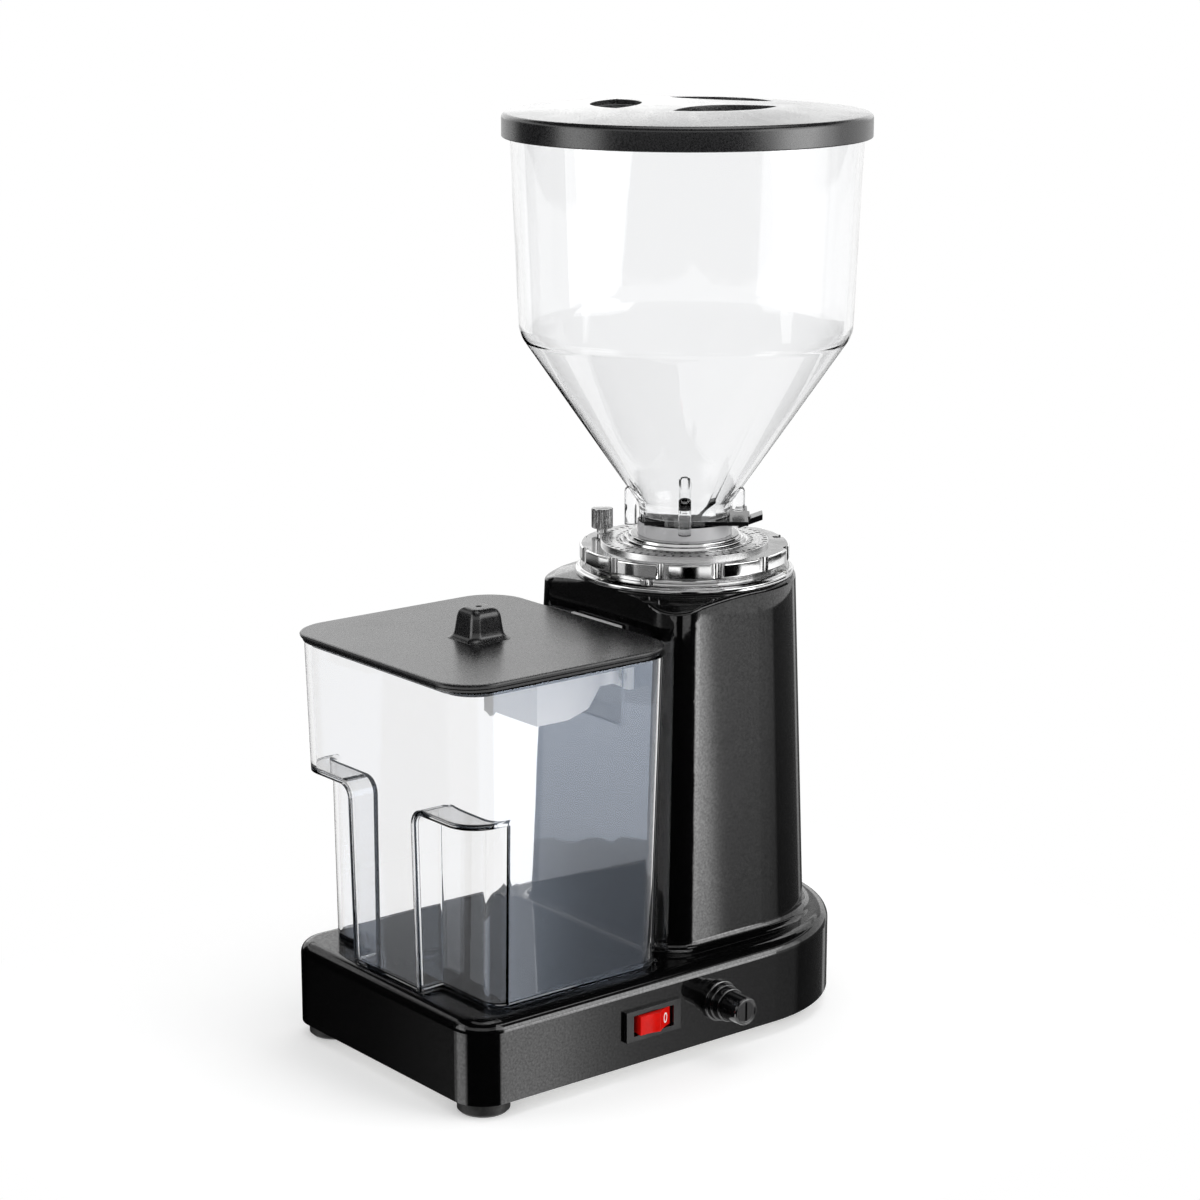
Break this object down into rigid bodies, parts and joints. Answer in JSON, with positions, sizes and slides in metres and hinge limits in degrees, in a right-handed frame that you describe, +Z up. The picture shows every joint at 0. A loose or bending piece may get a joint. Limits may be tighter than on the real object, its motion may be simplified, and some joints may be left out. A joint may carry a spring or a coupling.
{
  "type": "burr coffee grinder",
  "caption": "Shop style burr coffee grinder: black base and motor tower, bright adjusting ring, clear bean hopper with lid and shutter, clear grounds container with lid.",
  "frame": {"origin": "floor level, at the centre of the overall box", "axes": "+Z up, -Y towards the grounds container at the front, +X towards the switch"},
  "size_m": [0.181, 0.269, 0.4344],
  "materials": {
    "gloss_black": "gloss black paint on cast metal",
    "plated_sheet": "zinc plated sheet",
    "foot_rubber": "matt black rubber",
    "zinc_screw": "zinc plated",
    "black_moulding": "moulded black plastic",
    "red_lens": "translucent red plastic",
    "fuse_glass": "glass tube with metal ends",
    "capacitor_case": "pale plastic case",
    "terminal_plastic": "white moulded plastic",
    "lamination": "stacked electrical steel",
    "winding": "enamelled copper wire",
    "cast_alloy": "cast, machined on the seats",
    "bearing_steel": "ground steel",
    "fan_plastic": "moulded plastic",
    "bright_plate": "polished plate",
    "satin_scale": "satin with stamped marks",
    "knurled_steel": "knurled",
    "clear_plastic": "clear moulded plastic",
    "lid_plastic": "fine textured black plastic"
  },
  "bodies": {
    "base": {"base_shell": "gloss_black", "tower_housing": "gloss_black", "base_plate": "plated_sheet", "capacitor_clip": "plated_sheet", "foot_front_left": "foot_rubber", "foot_front_right": "foot_rubber", "foot_rear_left": "foot_rubber", "foot_rear_right": "foot_rubber", "foot_screw_front_left": "zinc_screw", "foot_screw_front_right": "zinc_screw", "foot_screw_rear_left": "zinc_screw", "foot_screw_rear_right": "zinc_screw", "tower_bolt_front_left": "zinc_screw", "tower_bolt_front_right": "zinc_screw", "tower_bolt_rear_left": "zinc_screw", "tower_bolt_rear_right": "zinc_screw", "chute_screw_left": "zinc_screw", "chute_screw_right": "zinc_screw", "flange_screw_1": "zinc_screw", "flange_screw_2": "zinc_screw", "flange_screw_3": "zinc_screw", "switch_bezel": "black_moulding", "fuse_holder": "black_moulding", "fuse_holder_nut": "black_moulding", "cord_grommet": "black_moulding", "run_capacitor": "capacitor_case", "terminal_block": "terminal_plastic", "outlet_chute": "terminal_plastic", "motor_stator": "lamination", "motor_windings": "winding", "motor_lower_bell": "cast_alloy", "motor_upper_bell": "cast_alloy", "grinding_chamber": "cast_alloy", "lower_bearing": "bearing_steel", "upper_bearing": "bearing_steel", "top_flange": "bright_plate", "pointer_pin": "bright_plate"},
    "rotor": {"motor_rotor": "lamination", "motor_shaft": "bearing_steel", "cooling_fan": "fan_plastic", "burr_carrier": "cast_alloy", "lower_burr": "bearing_steel", "burr_nut": "zinc_screw"},
    "dial": {"adjusting_ring": "bright_plate", "scale_disc": "satin_scale", "hopper_collar": "bright_plate", "upper_burr_holder": "cast_alloy", "upper_burr": "bearing_steel"},
    "index_knob": {"index_knob": "knurled_steel"},
    "hopper": {"hopper": "clear_plastic"},
    "gate": {"shutter_gate": "black_moulding"},
    "hopper_lid": {"hopper_lid": "lid_plastic"},
    "container": {"container": "clear_plastic"},
    "container_lid": {"container_lid": "lid_plastic"},
    "rocker": {"switch_rocker": "red_lens"},
    "fuse_link": {"fuse_link": "fuse_glass"},
    "fuse_cap": {"fuse_cap": "black_moulding"}
  },
  "joints": [
    {"name": "hopper_lift", "type": "slide", "parent": "base", "child": "hopper", "axis": [0, 0, 1], "range_m": [0, 0.06]},
    {"name": "hopper_lid_lift", "type": "slide", "parent": "hopper", "child": "hopper_lid", "axis": [0, 0, 1], "range_m": [0, 0.05]},
    {"name": "gate_slide", "type": "slide", "parent": "hopper", "child": "gate", "axis": [0.6428, 0.766, 0], "range_m": [0, 0.034]},
    {"name": "dial_turn", "type": "hinge", "parent": "base", "child": "dial", "pos_m": [-0.0045, 0.0485, 0.222], "axis": [0, 0, 1], "range_deg": [-100, 150]},
    {"name": "index_pull", "type": "slide", "parent": "dial", "child": "index_knob", "axis": [0, 0, 1], "range_m": [0, 0.0055], "stiffness_N_per_m": 300},
    {"name": "motor_spin", "type": "hinge", "parent": "base", "child": "rotor", "pos_m": [-0.0045, 0.0485, 0.12], "axis": [0, 0, 1], "continuous": true},
    {"name": "rocker_tip", "type": "hinge", "parent": "base", "child": "rocker", "pos_m": [0.0675, -0.033, 0.0264], "axis": [0, 0, 1], "range_deg": [-20, 0]},
    {"name": "fuse_pull", "type": "slide", "parent": "base", "child": "fuse_link", "axis": [1, 0, 0], "range_m": [0, 0.03]},
    {"name": "fuse_cap_turn", "type": "hinge", "parent": "fuse_link", "child": "fuse_cap", "pos_m": [0.0805, 0.0078, 0.0263], "axis": [1, 0, 0], "range_deg": [0, 90]},
    {"name": "container_slide", "type": "slide", "parent": "base", "child": "container", "axis": [0, -1, 0], "range_m": [0, 0.13]},
    {"name": "container_lid_lift", "type": "slide", "parent": "container", "child": "container_lid", "axis": [0, 0, 1], "range_m": [0, 0.05]}
  ]
}
